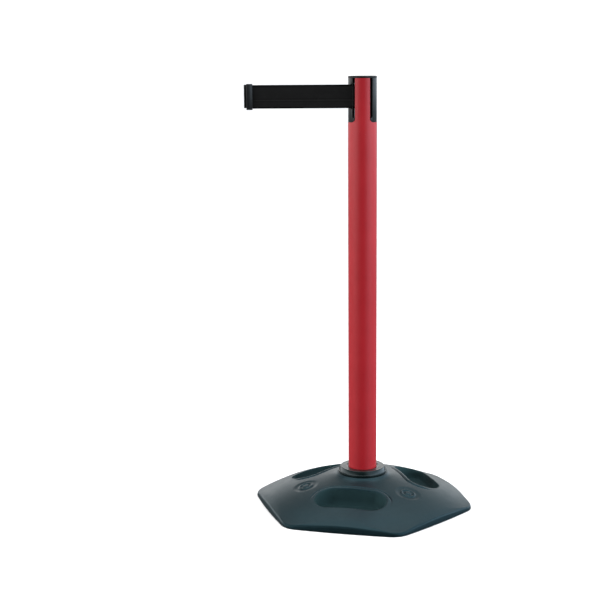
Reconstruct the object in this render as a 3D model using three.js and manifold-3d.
// Retractable belt stanchion: domed hexagonal rubber base, red tubular post, a spring reel of
// webbing in the post head and a belt end clip. Millimetres, +Z up, origin on the post axis at
// the floor. The belt leaves the head along -X.
import * as THREE from 'three';
import * as BufferGeometryUtils from 'three/addons/utils/BufferGeometryUtils.js';
import Module from 'manifold-3d';

const wasm = await Module();
wasm.setup();

// ---- driving dimensions --------------------------------------------------------------------
const GAP = 0.3;                 // clearance between pieces that touch in the real object

const BASE_CORNER_R = 256.3;     // axis to the sharp hexagon corner
const BASE_SIDE_BULGE = 3.1;     // outward bow of each hexagon side
const BASE_CORNER_ROUND = 46;    // corner radius in plan
const BASE_TURN = -11.49;        // plan angle of the first corner, degrees
const BASE_TOP_Z = 72;           // flat seat under the collar
const DOME = [                   // radius, height of the domed top
  [56, 72], [59, 70.2], [66, 66.4], [86, 61.2], [116, 54.6], [144, 47.5], [172, 38.6], [199, 28.4],
  [224, 17.2], [243, 9.8], [256, 7],
];
const CROWN_R = 170;             // inside this the broken floor edge takes nothing off the dome
const SOCKET_R = 32.1;
const SOCKET_FLOOR_Z = 40;

const GRIP_U = 132;              // axis to the middle of a grip pocket
const GRIP_HALF_LENGTH = 82;
const GRIP_HALF_WIDTH = 37;
const GRIP_FLOOR_Z = 21;
const GRIP_ANGLES = [-90, 30, 150].map((a) => a + BASE_TURN);
const MARK_ANGLES = [-30, 90, -150].map((a) => a + BASE_TURN);
const MARK_U = 135;
const DISH_R = 30;
const DISH_DEPTH = 1.9;

const COLLAR_FOOT_R = 54;
const COLLAR_TOP_R = 49.5;
const COLLAR_TOP_Z = 86;

const TUBE_R = 31.75;            // 2.5 in post
const TUBE_WALL = 2;
const TUBE_FOOT_Z = SOCKET_FLOOR_Z + GAP;
const HEAD_JOINT_Z = 840;        // top of the post tube, under the head sleeve
const COUPLER_R_IN = 27;         // ring that holds the sleeve to the tube from inside
const COUPLER_FOOT_Z = 812;
const TUBE_TOP_Z = 960.2;
const CAP_Z = 960.5;
const OVERALL_Z = 965;

const CUTOUT_HALF_Y = 27.3;      // side cut-outs leave a 60 degree tongue front and back
const CUTOUT_FOOT_Z = 865;
const CUTOUT_CORNER = 7;
const PANEL_R = 31.3;
const PANEL_FACE_HALF_Y = 25.4;  // leaves a dark joint beside the tongues
const CHANNEL_ANGLE = 52;        // receiver channels, from the X axis
const PANEL_SKIN_IN = 27.2;
const PANEL_SKIN_FOOT_Z = 866;
const PANEL_SKIN_OUT = TUBE_R - TUBE_WALL - GAP;

const SLOT_WIDTH = 7;            // receiver channels for a neighbour's clip tongue
const SLOT_FLOOR_R = 24.6;
const SLOT_FOOT_Z = 878;
const SLOT_WALL = 1.6;

const BELT_Z = 921.3;            // middle of the webbing
const BELT_WIDTH = 50.8;
const BELT_THICK = 0.4;          // 2.2 m of it fills the wound coil
const BELT_Y = -20;              // plane of the free length
const BELT_START_X = -0.5;
const COIL_R = 19.4;

const SPINDLE_R = 4;
const FLOOR_Z = 862;
const FLOOR_THICK = 3;
const PLATE_Z = 952;
const PLATE_THICK = 3.4;
const FLANGE_R = 22;

const CLIP_END_X = -257.4;
const CLIP_SHELL_X = -251.8;
const CLIP_ROOT_X = -238.9;
const CLIP_HEIGHT = 56;
const TONGUE_BELOW = 24;         // tongue's reach below and above the webbing's middle
const TONGUE_ABOVE = 26.3;
const TONGUE_HALF = 2.6;         // runs with 0.9 mm of play each side in a neighbour's channel
const CLIP_PIN_X = -246.7;
const CLIP_SCREW_X = -243.2;
const CLIP_SCREW_DZ = 15;

const RED = { color: 0x9d2733, roughness: 0.38, metalness: 0.1 };
const RUBBER = { color: 0x2f3a3e, roughness: 0.7, metalness: 0 };
const BLACK = { color: 0x1c1e20, roughness: 0.45, metalness: 0 };
const WEBBING = { color: 0x17181a, roughness: 0.9, metalness: 0 };
const STEEL = { color: 0xa9adb1, roughness: 0.35, metalness: 1 };
const SPRING_STEEL = { color: 0x5c6167, roughness: 0.3, metalness: 1 };
const NYLON = { color: 0xd9d8cf, roughness: 0.5, metalness: 0 };
const ALUMINIUM = { color: 0xbfc3c7, roughness: 0.45, metalness: 1 };

// ---- helpers -------------------------------------------------------------------------------
const rad = THREE.MathUtils.degToRad;
const group = new THREE.Group();
group.name = 'retractable_belt_stanchion';

function toSolid(geometry) {
  const bare = geometry.index ? geometry.toNonIndexed() : geometry.clone();
  for (const name of Object.keys(bare.attributes)) {
    if (name !== 'position') bare.deleteAttribute(name);
  }
  const merged = BufferGeometryUtils.mergeVertices(bare, 1e-4);
  const mesh = new wasm.Mesh({
    numProp: 3,
    vertProperties: new Float32Array(merged.attributes.position.array),
    triVerts: new Uint32Array(merged.index.array),
  });
  return new wasm.Manifold(mesh);
}

function toGeometry(solid) {
  const mesh = solid.getMesh();
  const geometry = new THREE.BufferGeometry();
  geometry.setAttribute('position', new THREE.BufferAttribute(mesh.vertProperties, 3));
  geometry.setIndex(new THREE.BufferAttribute(mesh.triVerts, 1));
  geometry.computeVertexNormals();
  return geometry;
}

function addPiece(name, shape, look) {
  const geometry = shape.isBufferGeometry ? shape : toGeometry(shape);
  const mesh = new THREE.Mesh(geometry, new THREE.MeshStandardMaterial(look));
  mesh.name = name;
  group.add(mesh);
}

// Cylinder about Z from z0 to z1.
function rod(r, z0, z1, x = 0, y = 0, segments = 24) {
  const g = new THREE.CylinderGeometry(r, r, z1 - z0, segments);
  g.rotateX(Math.PI / 2);
  g.translate(x, y, (z0 + z1) / 2);
  return toSolid(g);
}

// Closed profile of [radius, z] points turned about Z.
function turned(points, segments = 48) {
  const closed = [...points, points[0]].map(([r, z]) => new THREE.Vector2(r, z));
  const g = new THREE.LatheGeometry(closed, segments);
  g.rotateX(Math.PI / 2);
  return outward(g);
}

function flipped(geometry) {
  const g = geometry.toNonIndexed();
  const p = g.attributes.position.array;
  for (let i = 0; i < p.length; i += 9) {
    for (let k = 0; k < 3; k += 1) {
      const keep = p[i + 3 + k];
      p[i + 3 + k] = p[i + 6 + k];
      p[i + 6 + k] = keep;
    }
  }
  return g;
}

// Solid of a turned shape, whichever way round its profile was drawn.
function outward(g) {
  const solid = toSolid(g);
  return solid.volume() < 0 ? toSolid(flipped(g)) : solid;
}

function ring(rIn, rOut, z0, z1, segments = 48) {
  return turned([[rIn, z0], [rOut, z0], [rOut, z1], [rIn, z1]], segments);
}

function box(x0, x1, y0, y1, z0, z1) {
  const g = new THREE.BoxGeometry(x1 - x0, y1 - y0, z1 - z0);
  g.translate((x0 + x1) / 2, (y0 + y1) / 2, (z0 + z1) / 2);
  return toSolid(g);
}

// Plan outline of [x, y] points raised from z0 to z1.
function prism(points, z0, z1) {
  const shape = new THREE.Shape(points.map(([x, y]) => new THREE.Vector2(x, y)));
  const g = new THREE.ExtrudeGeometry(shape, { depth: z1 - z0, bevelEnabled: false });
  g.translate(0, 0, z0);
  return toSolid(g);
}

// Rod about the Y axis, for the clip screws.
function rodY(r, y0, y1, x, z, segments = 20) {
  const g = new THREE.CylinderGeometry(r, r, y1 - y0, segments);
  g.translate(x, (y0 + y1) / 2, z);
  return toSolid(g);
}

function hexRod(acrossFlats, z0, z1) {
  return rod(acrossFlats / Math.sqrt(3), z0, z1, 0, 0, 6);
}

// ---- base ----------------------------------------------------------------------------------
// Bowed-sided hexagon with rounded corners, inset from the floor outline.
function hexagonOutline(inset) {
  const apothem = (BASE_CORNER_R - BASE_CORNER_ROUND / Math.cos(rad(30))) * Math.cos(rad(30));
  const points = [];
  for (let side = 0; side < 6; side += 1) {
    const mid = rad(BASE_TURN + 30 + 60 * side);
    const half = apothem * Math.tan(rad(30));
    const steps = 4;
    for (let i = 0; i <= steps; i += 1) {
      const t = -1 + (2 * i) / steps;
      const out = apothem + BASE_CORNER_ROUND - inset + BASE_SIDE_BULGE * (1 - t * t);
      const along = half * t;
      points.push([
        out * Math.cos(mid) - along * Math.sin(mid),
        out * Math.sin(mid) + along * Math.cos(mid),
      ]);
    }
    const corner = mid + rad(30);
    const centre = apothem / Math.cos(rad(30));
    for (const turn of [-18, -6, 6, 18]) {
      const a = corner + rad(turn);
      const r = BASE_CORNER_ROUND - inset;
      points.push([
        centre * Math.cos(corner) + r * Math.cos(a),
        centre * Math.sin(corner) + r * Math.sin(a),
      ]);
    }
  }
  return points;
}

// Block over the hexagon whose outline shrinks from one inset to another on the way up.
function taperedHexagon(footInset, headInset, footZ, height) {
  const foot = hexagonOutline(footInset);
  const head = hexagonOutline(headInset);
  const shape = new THREE.Shape(foot.map(([x, y]) => new THREE.Vector2(x, y)));
  const g = new THREE.ExtrudeGeometry(shape, { depth: height, bevelEnabled: false });
  const p = g.attributes.position;
  const key = (x, y) => `${x.toFixed(2)},${y.toFixed(2)}`;
  const move = new Map(foot.map(([x, y], i) => [key(x, y), head[i]]));
  for (let i = 0; i < p.count; i += 1) {
    if (p.getZ(i) > height / 2) {
      const to = move.get(key(p.getX(i), p.getY(i)));
      p.setX(i, to[0]);
      p.setY(i, to[1]);
    }
  }
  g.translate(0, 0, footZ);
  return toSolid(g);
}

// Stadium-shaped hand grip, its walls slightly drafted and its floor edge rounded.
function gripPocket(angle) {
  const straight = GRIP_HALF_LENGTH - GRIP_HALF_WIDTH;
  const round = 9;
  const r = GRIP_HALF_WIDTH - round;
  const shape = new THREE.Shape();
  shape.moveTo(-r, -straight);
  shape.absarc(0, -straight, r, Math.PI, 2 * Math.PI, false);
  shape.lineTo(r, straight);
  shape.absarc(0, straight, r, 0, Math.PI, false);
  shape.closePath();
  const g = new THREE.ExtrudeGeometry(shape, {
    depth: 60, bevelEnabled: true, bevelThickness: round, bevelSize: round, bevelSegments: 2,
    curveSegments: 7,
  });
  g.translate(GRIP_U, 0, GRIP_FLOOR_Z + round);
  g.rotateZ(rad(angle));
  return toSolid(g);
}

function domeHeight(r) {
  for (let i = 1; i < DOME.length; i += 1) {
    const [r0, z0] = DOME[i - 1];
    const [r1, z1] = DOME[i];
    if (r <= r1) return z0 + ((z1 - z0) * (r - r0)) / (r1 - r0);
  }
  return DOME[DOME.length - 1][1];
}

// Stands a shape drawn about the origin square on the dome at a mark.
function placedMark(g, angle) {
  const slope = Math.atan2(domeHeight(MARK_U - 20) - domeHeight(MARK_U + 20), 40);
  g.rotateY(slope);
  g.translate(MARK_U, 0, domeHeight(MARK_U));
  g.rotateZ(rad(angle));
  return outward(g);
}

// Shallow round dish in the dome for a mark.
function markDish(angle) {
  const sphere = (DISH_R * DISH_R + DISH_DEPTH * DISH_DEPTH) / (2 * DISH_DEPTH);
  const cap = Math.asin((DISH_R * 1.3) / sphere);
  const steps = 3;
  const profile = [];
  for (let i = 0; i <= steps; i += 1) {
    const a = (cap * i) / steps;
    profile.push(new THREE.Vector2(sphere * Math.sin(a), sphere * (1 - Math.cos(a)) - DISH_DEPTH));
  }
  const rim = profile[steps].x;
  profile.push(new THREE.Vector2(rim, 30), new THREE.Vector2(0, 30));
  return placedMark(new THREE.LatheGeometry(profile, 24).rotateX(Math.PI / 2), angle);
}

// Plain raised ring round a small button, standing in the dish.
function markRelief(angle) {
  const hoop = new THREE.TorusGeometry(14, 2.2, 5, 24).translate(0, 0, -1.9);
  const button = new THREE.CylinderGeometry(6, 7, 5, 16).rotateX(Math.PI / 2).translate(0, 0, -2.6);
  return [placedMark(hoop, angle), placedMark(button, angle)];
}

function buildBase() {
  const rim = DOME[DOME.length - 1][0];
  const profile = [[0, 0], [rim, 0], ...[...DOME].reverse(), [0, BASE_TOP_Z]];
  const g = new THREE.LatheGeometry(profile.map(([r, z]) => new THREE.Vector2(r, z)), 64);
  g.rotateX(Math.PI / 2);
  const crown = rod(CROWN_R, 50, BASE_TOP_Z + 10, 0, 0, 48);
  const brokenEdge = taperedHexagon(-30, 45, -15, 75).add(crown);
  let base = outward(g).intersect(taperedHexagon(0, 8, 0, 80)).intersect(brokenEdge);
  for (const angle of GRIP_ANGLES) base = base.subtract(gripPocket(angle));
  for (const angle of MARK_ANGLES) {
    base = base.subtract(markDish(angle));
    for (const relief of markRelief(angle)) base = base.add(relief);
  }
  base = base.subtract(rod(SOCKET_R, SOCKET_FLOOR_Z, BASE_TOP_Z + 10, 0, 0, 48));
  base = base.subtract(rod(6.3, 14, SOCKET_FLOOR_Z + 1));
  addPiece('base_weight', base, RUBBER);
}

function buildFoot() {
  const foot = BASE_TOP_Z + GAP;
  const collar = turned([
    [SOCKET_R, foot], [COLLAR_FOOT_R, foot], [COLLAR_FOOT_R, foot + 4.5],
    [COLLAR_TOP_R + 1.5, COLLAR_TOP_Z - 1.5], [COLLAR_TOP_R, COLLAR_TOP_Z], [36.5, COLLAR_TOP_Z],
    [35.5, COLLAR_TOP_Z - 1.6], [SOCKET_R, COLLAR_TOP_Z - 1.6],
  ], 48);
  addPiece('foot_collar', collar, RUBBER);
  const stud = rod(6, 14.3, 74).add(hexRod(24, SOCKET_FLOOR_Z + GAP, 46));
  addPiece('anchor_stud', stud, STEEL);
  const plug = turned([
    [6.3, 46.3], [29.4, 46.3], [29.4, 72], [14, 72], [14, 80], [6.3, 80],
  ]);
  addPiece('foot_plug', plug, ALUMINIUM);
}

// ---- post ----------------------------------------------------------------------------------
// Cut-out outline in the Y-Z plane with rounded lower corners, raised along X on one side.
function sideWindow(side, halfY, footZ, corner, topZ) {
  const shape = new THREE.Shape();
  shape.moveTo(-halfY, topZ);
  shape.lineTo(-halfY, footZ + corner);
  shape.absarc(-halfY + corner, footZ + corner, corner, Math.PI, 1.5 * Math.PI, false);
  shape.lineTo(halfY - corner, footZ);
  shape.absarc(halfY - corner, footZ + corner, corner, 1.5 * Math.PI, 2 * Math.PI, false);
  shape.lineTo(halfY, topZ);
  shape.closePath();
  const g = new THREE.ExtrudeGeometry(shape, { depth: 40, bevelEnabled: false, curveSegments: 6 });
  g.rotateX(Math.PI / 2);
  g.rotateZ(Math.PI / 2);
  const solid = toSolid(g);
  return side > 0 ? solid : solid.rotate([0, 0, 180]);
}

function buildPost() {
  const bore = TUBE_R - TUBE_WALL;
  addPiece('post_tube', ring(bore, TUBE_R, TUBE_FOOT_Z, HEAD_JOINT_Z, 64), RED);
  let sleeve = ring(bore, TUBE_R, HEAD_JOINT_Z + GAP, TUBE_TOP_Z, 64);
  for (const side of [1, -1]) {
    const window = sideWindow(side, CUTOUT_HALF_Y, CUTOUT_FOOT_Z, CUTOUT_CORNER, OVERALL_Z + 10);
    sleeve = sleeve.subtract(window);
  }
  addPiece('head_sleeve', sleeve, RED);
  addPiece('head_coupler', ring(COUPLER_R_IN, bore - GAP, COUPLER_FOOT_Z, FLOOR_Z - GAP), ALUMINIUM);
}

// ---- head panels ---------------------------------------------------------------------------
function channelBlock(angle) {
  const half = SLOT_WIDTH / 2 + SLOT_WALL;
  return box(SLOT_FLOOR_R - 1.4, PANEL_SKIN_OUT - 0.6, -half, half, SLOT_FOOT_Z - 5.5, TUBE_TOP_Z)
    .rotate([0, 0, angle]);
}

function channelCut(angle) {
  const half = SLOT_WIDTH / 2;
  const straight = box(SLOT_FLOOR_R, TUBE_R + 4, -half, half, SLOT_FOOT_Z, OVERALL_Z + 5);
  const foot = rod(half, SLOT_FLOOR_R, TUBE_R + 4, 0, 0, 16).rotate([0, 90, 0])
    .translate([0, 0, SLOT_FOOT_Z]);
  return straight.add(foot).rotate([0, 0, angle]);
}

function panelSolid(side, channelAngles) {
  const face = ring(PANEL_SKIN_IN + 1, PANEL_R, CUTOUT_FOOT_Z - 5, TUBE_TOP_Z, 64).intersect(
    sideWindow(side, PANEL_FACE_HALF_Y, CUTOUT_FOOT_Z + GAP, CUTOUT_CORNER - 1.8, OVERALL_Z + 10));
  const skin = ring(PANEL_SKIN_IN, PANEL_SKIN_OUT, PANEL_SKIN_FOOT_Z, TUBE_TOP_Z, 64).intersect(
    side > 0 ? box(4, 40, -28.4, 28.4, 800, 1000) : box(-40, -4, -28.4, 28.4, 800, 1000));
  let panel = skin.add(face);
  for (const angle of channelAngles) panel = panel.add(channelBlock(angle));
  for (const angle of channelAngles) panel = panel.subtract(channelCut(angle));
  return panel;
}

function buildPanels() {
  addPiece('head_panel_right', panelSolid(1, [CHANNEL_ANGLE, -CHANNEL_ANGLE]), BLACK);
  const mouthHalf = CLIP_HEIGHT / 2 - 1;
  const mouth = box(-40, -10, BELT_Y - 2, BELT_Y + 2, BELT_Z - mouthHalf, BELT_Z + mouthHalf);
  const groove = channelCut(CHANNEL_ANGLE - 180);
  const left = panelSolid(-1, [180 - CHANNEL_ANGLE]).subtract(mouth).subtract(groove);
  addPiece('head_panel_left', left, BLACK);
}

function buildCap() {
  let cap = turned([
    [0, CAP_Z - 1.5], [22.6, CAP_Z - 1.5], [22.6, CAP_Z], [TUBE_R, CAP_Z], [TUBE_R, OVERALL_Z - 1],
    [TUBE_R - 1, OVERALL_Z], [0, OVERALL_Z],
  ], 64);
  cap = cap.subtract(rod(5, CAP_Z - 3, CAP_Z - 0.4));
  for (const x of [-14, 14]) {
    cap = cap.subtract(rod(1.8, CAP_Z - 3, OVERALL_Z + 1, x, 0, 16));
    cap = cap.subtract(rod(3.6, OVERALL_Z - 2.4, OVERALL_Z + 1, x, 0, 16));
  }
  addPiece('top_cap', cap, BLACK);
  for (const [name, x] of [['cap_screw_left', -14], ['cap_screw_right', 14]]) {
    const head = rod(3.3, OVERALL_Z - 2.1, OVERALL_Z - 0.3, x, 0, 16);
    const slot = box(x - 2.2, x + 2.2, -0.5, 0.5, OVERALL_Z - 1.1, OVERALL_Z + 1);
    addPiece(name, head.add(rod(1.5, 946, OVERALL_Z - 2, x, 0, 12).trimByPlane([0, 0, 1], 951.2))
      .subtract(slot), STEEL);
  }
}

// ---- cassette ------------------------------------------------------------------------------
const PILLARS = [[25, 0], [0, 25], [-25, 0], [0, -25]];
const GUIDES = [['mouth_pin_inner', -17, BELT_Y + 1.9], ['mouth_pin_outer', -11, BELT_Y - 2.1]];

function buildCassette() {
  const floorTop = FLOOR_Z + FLOOR_THICK;
  let floor = rod(28.9, FLOOR_Z, floorTop, 0, 0, 40).subtract(rod(SPINDLE_R + GAP, 850, 870));
  let plate = rod(26.8, PLATE_Z, PLATE_Z + PLATE_THICK, 0, 0, 40)
    .subtract(rod(SPINDLE_R + GAP, 940, 970));
  for (const angle of [CHANNEL_ANGLE, -CHANNEL_ANGLE, 180 - CHANNEL_ANGLE]) {
    plate = plate.subtract(box(22.9, 30, -5.4, 5.4, 940, 970).rotate([0, 0, angle]));
  }
  for (const x of [-14, 14]) plate = plate.subtract(rod(1.8, 940, 970, x, 0, 16));
  const posts = [...PILLARS, ...GUIDES.map(([, x, y]) => [x, y])];
  for (const [x, y] of posts) {
    floor = floor.subtract(rod(1.5, floorTop - 1.5, 870, x, y, 12));
    plate = plate.subtract(rod(1.5, 940, PLATE_Z + 1.5, x, y, 12));
  }
  addPiece('cassette_floor', floor, BLACK);
  addPiece('cassette_top_plate', plate, BLACK);
  PILLARS.forEach(([x, y], i) => {
    const body = rod(1.8, floorTop + GAP, PLATE_Z - GAP, x, y, 12);
    const tenon = rod(1.2, floorTop - 1.2, PLATE_Z + 1.2, x, y, 12);
    addPiece(`cassette_pillar_${i + 1}`, body.add(tenon), STEEL);
  });
  for (const [name, x, y] of GUIDES) {
    addPiece(name, rod(1.2, floorTop - 1.2, PLATE_Z + 1.2, x, y, 12), STEEL);
  }
  const head = rod(7, FLOOR_Z - 2.8, FLOOR_Z - GAP, 0, 0, 32);
  addPiece('spindle', head.add(rod(SPINDLE_R, FLOOR_Z - 1, 958.4)), STEEL);
  const nut = hexRod(9.5, PLATE_Z + PLATE_THICK + GAP, 958.8).subtract(rod(SPINDLE_R + 0.15, 940, 970));
  addPiece('spindle_nut', nut, STEEL);
}

// ---- reel ----------------------------------------------------------------------------------
const DRUM_R = 9.3;
const DRUM_FOOT = 892.4;
const DRUM_TOP = 950.9;

function buildReel() {
  addPiece('reel_drum', ring(5.5, DRUM_R, DRUM_FOOT, DRUM_TOP, 48), NYLON);
  addPiece('reel_flange_lower', ring(DRUM_R + GAP, FLANGE_R, 893, 894.6), NYLON);
  addPiece('reel_flange_upper', ring(DRUM_R + GAP, FLANGE_R, 948.4, 950), NYLON);
  const bush = (z0, z1) => ring(SPINDLE_R + 0.06, 5.2, z0, z1, 32);
  addPiece('reel_bush_lower', bush(DRUM_FOOT, DRUM_FOOT + 9), STEEL);
  addPiece('reel_bush_upper', bush(DRUM_TOP - 9, DRUM_TOP), STEEL);
  const z0 = BELT_Z - BELT_WIDTH / 2;
  addPiece('belt_coil', ring(DRUM_R + GAP, COIL_R, z0, z0 + BELT_WIDTH), WEBBING);
  const keyway = box(4, 9, -0.6, 0.6, 866, 886);
  addPiece('spring_arbor', ring(SPINDLE_R + 0.5, 7.2, 867.2, 892.1, 40).subtract(keyway), STEEL);
}

// Flat spiral strip: outer tail at the case, inner tail hooked in the arbor's keyway.
function spiralStrip(rIn, rOut, turns, thick, z0, z1) {
  const steps = Math.round(turns * 16);
  const inner = [];
  const outer = [];
  for (let i = 0; i <= steps; i += 1) {
    const a = (2 * Math.PI * turns * i) / steps;
    const r = rIn + ((rOut - rIn) * i) / steps;
    inner.push([(r - thick / 2) * Math.cos(a), (r - thick / 2) * Math.sin(a)]);
    outer.push([(r + thick / 2) * Math.cos(a), (r + thick / 2) * Math.sin(a)]);
  }
  return prism([...inner, ...outer.reverse()], z0, z1);
}

function buildSpring() {
  const cup = turned([
    [8, 865.4], [22.9, 865.4], [22.9, 886], [21.8, 886], [21.8, 866.8], [8, 866.8],
  ]);
  addPiece('spring_case', cup, STEEL);
  addPiece('spring_case_lid', ring(8, 22.9, 886.3, 887.4), STEEL);
  const hook = box(6.3, 8.2, -0.25, 0.25, 867.6, 885.4);
  const strip = spiralStrip(8.1, 21.2, 7, 0.5, 867.6, 885.4);
  addPiece('power_spring', strip.add(hook), SPRING_STEEL);
}

// ---- centrifugal brake ---------------------------------------------------------------------
const SHOE_PIVOT_R = 17;

function shoeSolid(turn) {
  const arc = ring(13.2, 20.9, 889, 892.2, 48);
  const keepHalf = box(-30, 30, 1.6, 30, 880, 900).rotate([0, 0, -8]);
  const keepOther = box(-2, 30, -30, 30, 880, 900).rotate([0, 0, 24]);
  const shoe = arc.intersect(keepHalf).intersect(keepOther);
  const x = SHOE_PIVOT_R * Math.cos(rad(8));
  const y = SHOE_PIVOT_R * Math.sin(rad(8));
  return shoe.subtract(rod(1.4, 880, 900, x, y, 20)).rotate([0, 0, turn]);
}

function buildBrake() {
  addPiece('brake_ring', ring(21.6, 22.9, 887.7, 892.6, 48), STEEL);
  for (const [suffix, turn] of [['a', 0], ['b', 180]]) {
    const a = rad(8 + turn);
    const x = SHOE_PIVOT_R * Math.cos(a);
    const y = SHOE_PIVOT_R * Math.sin(a);
    addPiece(`brake_shoe_${suffix}`, shoeSolid(turn), NYLON);
    const pin = rod(1.1, 888.8, 892.8, x, y, 20);
    addPiece(`brake_pin_${suffix}`, pin, STEEL);
  }
}

// ---- belt and end clip ---------------------------------------------------------------------
function buildBelt() {
  const z0 = BELT_Z - BELT_WIDTH / 2;
  const z1 = BELT_Z + BELT_WIDTH / 2;
  const half = BELT_THICK / 2;
  let belt = box(CLIP_PIN_X + 1.7, BELT_START_X, BELT_Y - half, BELT_Y + half, z0, z1);
  const loop = ring(1.7, 1.7 + BELT_THICK, z0, z1, 24).translate([CLIP_PIN_X, BELT_Y, 0]);
  belt = belt.add(loop);
  for (const dz of [-CLIP_SCREW_DZ, CLIP_SCREW_DZ]) {
    belt = belt.subtract(rodY(1.6, BELT_Y - 2, BELT_Y + 2, CLIP_SCREW_X, BELT_Z + dz));
  }
  addPiece('belt_free', belt, WEBBING);
  addPiece('clip_belt_pin', rod(1.4, z0 - 1, z1 + 1, CLIP_PIN_X, BELT_Y, 20), STEEL);
}

// One half of the clip's housing, its outline drawn for the front (s = -1) and mirrored.
function clipShell(s) {
  const at = (x, d) => [x, BELT_Y + s * d];
  const z0 = BELT_Z - CLIP_HEIGHT / 2;
  const z1 = BELT_Z + CLIP_HEIGHT / 2;
  const outline = [
    at(CLIP_SHELL_X, 1.35), at(CLIP_SHELL_X, 5), at(CLIP_SHELL_X + 0.9, 5.9), at(CLIP_SHELL_X + 7.1, 5.9),
    at(CLIP_SHELL_X + 10.1, 4.2), at(CLIP_ROOT_X, 1.9), at(CLIP_ROOT_X, 0.6), at(CLIP_SHELL_X + 7.6, 0.6),
    at(CLIP_SHELL_X + 7.6, 2.7), at(CLIP_SHELL_X + 0.8, 2.7), at(CLIP_SHELL_X + 0.8, 1.35),
  ];
  const ordered = s > 0 ? [...outline].reverse() : outline;
  const ends = [
    at(CLIP_SHELL_X, 0.15), at(CLIP_SHELL_X, 5), at(CLIP_SHELL_X + 0.9, 5.9), at(CLIP_SHELL_X + 7.1, 5.9),
    at(CLIP_SHELL_X + 10.1, 4.2), at(CLIP_ROOT_X, 1.9), at(CLIP_ROOT_X, 0.15),
  ];
  const orderedEnds = s > 0 ? [...ends].reverse() : ends;
  return prism(ordered, z0, z1).add(prism(orderedEnds, z0, z0 + 1.4)).add(prism(orderedEnds, z1 - 1.4, z1));
}

function buildClip() {
  let front = clipShell(-1);
  let back = clipShell(1);
  for (const dz of [-CLIP_SCREW_DZ, CLIP_SCREW_DZ]) {
    const z = BELT_Z + dz;
    front = front.subtract(rodY(1.5, BELT_Y - 3, BELT_Y, CLIP_SCREW_X, z));
    back = back.subtract(rodY(1.5, BELT_Y, BELT_Y + 8, CLIP_SCREW_X, z));
    back = back.subtract(rodY(2.5, BELT_Y + 3.2, BELT_Y + 8, CLIP_SCREW_X, z));
    const shank = rodY(1.2, BELT_Y - 2.7, BELT_Y + 3.6, CLIP_SCREW_X, z);
    const head = rodY(2.2, BELT_Y + 3.5, BELT_Y + 4.7, CLIP_SCREW_X, z);
    addPiece(dz > 0 ? 'clip_screw_upper' : 'clip_screw_lower', shank.add(head), STEEL);
  }
  addPiece('clip_shell_front', front, BLACK);
  addPiece('clip_shell_back', back, BLACK);
  const tip = TONGUE_HALF - 0.9;
  const head = CLIP_SHELL_X - 2.4;
  const neck = CLIP_SHELL_X - 1;
  const foot = CLIP_SHELL_X + 1.1;
  const bead = prism([
    [CLIP_END_X, BELT_Y - tip], [CLIP_END_X + 1.2, BELT_Y - TONGUE_HALF], [head, BELT_Y - TONGUE_HALF],
    [neck, BELT_Y - 1.05], [foot, BELT_Y - 1.05], [foot, BELT_Y - 2.3],
    [foot + 1.2, BELT_Y - 2.3], [foot + 1.2, BELT_Y + 2.3], [foot, BELT_Y + 2.3],
    [foot, BELT_Y + 1.05], [neck, BELT_Y + 1.05], [head, BELT_Y + TONGUE_HALF],
    [CLIP_END_X + 1.2, BELT_Y + TONGUE_HALF], [CLIP_END_X, BELT_Y + tip],
  ], BELT_Z - TONGUE_BELOW, BELT_Z + TONGUE_ABOVE);
  addPiece('clip_tongue', bead, BLACK);
}

buildBase();
buildFoot();
buildPost();
buildPanels();
buildCap();
buildCassette();
buildReel();
buildSpring();
buildBrake();
buildBelt();
buildClip();

export default group;
